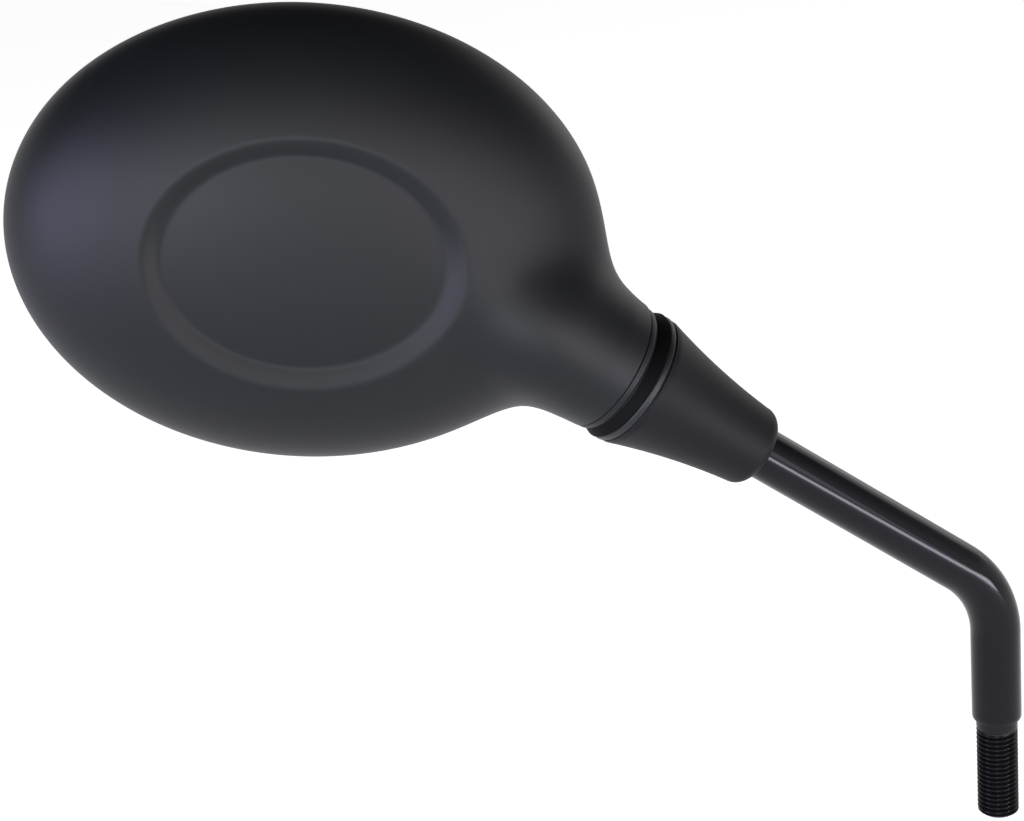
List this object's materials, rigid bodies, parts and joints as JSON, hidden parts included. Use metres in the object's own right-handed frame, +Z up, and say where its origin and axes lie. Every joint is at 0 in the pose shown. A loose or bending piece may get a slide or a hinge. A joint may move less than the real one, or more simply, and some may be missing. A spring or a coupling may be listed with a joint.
{
  "type": "handlebar rear-view mirror",
  "caption": "Right-hand handlebar mirror with an oval moulded head on a friction ball joint and a bent threaded stem.",
  "frame": {"origin": "centre of the stem's shoulder, where the thread ends and the full rod begins", "axes": "+Z up the axis of the stem's lower leg and thread, +Y the way the mirror glass faces, +X towards the middle of the vehicle, so that the head lies towards -X"},
  "size_m": [0.2239, 0.0402, 0.2181],
  "materials": {
    "stem": "gloss black paint",
    "cone_cover": "satin black moulded plastic",
    "pivot_dome": "satin black paint on a die casting",
    "dome_pin": "plain steel",
    "pressure_washer": "plain steel",
    "disc_springs": "spring steel",
    "spring_washer": "zinc-plated steel",
    "lock_nut": "zinc-plated steel",
    "nut_insert": "blue nylon",
    "friction_liner": "natural nylon",
    "socket_cup": "satin black moulded plastic",
    "housing": "matte to satin black moulded plastic",
    "carrier_plate": "black moulded plastic",
    "carrier_screws": "zinc-plated steel",
    "foam_pad": "black foam",
    "mirror_glass": "convex silvered glass",
    "rim_gasket": "black rubber"
  },
  "bodies": {
    "stem": {"stem": "stem", "cone_cover": "cone_cover", "pivot_dome": "pivot_dome", "dome_pin": "dome_pin", "disc_springs": "disc_springs", "spring_washer": "spring_washer", "lock_nut": "lock_nut", "nut_insert": "nut_insert"},
    "washer": {"pressure_washer": "pressure_washer"},
    "liner": {"friction_liner": "friction_liner"},
    "head": {"socket_cup": "socket_cup", "housing": "housing", "carrier_plate": "carrier_plate", "carrier_screws": "carrier_screws", "foam_pad": "foam_pad", "mirror_glass": "mirror_glass", "rim_gasket": "rim_gasket"}
  },
  "joints": [
    {"name": "swivel", "type": "hinge", "parent": "stem", "child": "washer", "pos_m": [-0.0794, -0.01543, 0.09927], "axis": [-0.7672, -0.1491, 0.6239], "continuous": true},
    {"name": "tilt_up", "type": "hinge", "parent": "washer", "child": "liner", "pos_m": [-0.0794, -0.01543, 0.09927], "axis": [-0.1908, 0.9816, 0], "range_deg": [-5, 5]},
    {"name": "tilt_side", "type": "hinge", "parent": "liner", "child": "head", "pos_m": [-0.0794, -0.01543, 0.09927], "axis": [0.6124, 0.119, 0.7815], "range_deg": [-5, 5]}
  ]
}
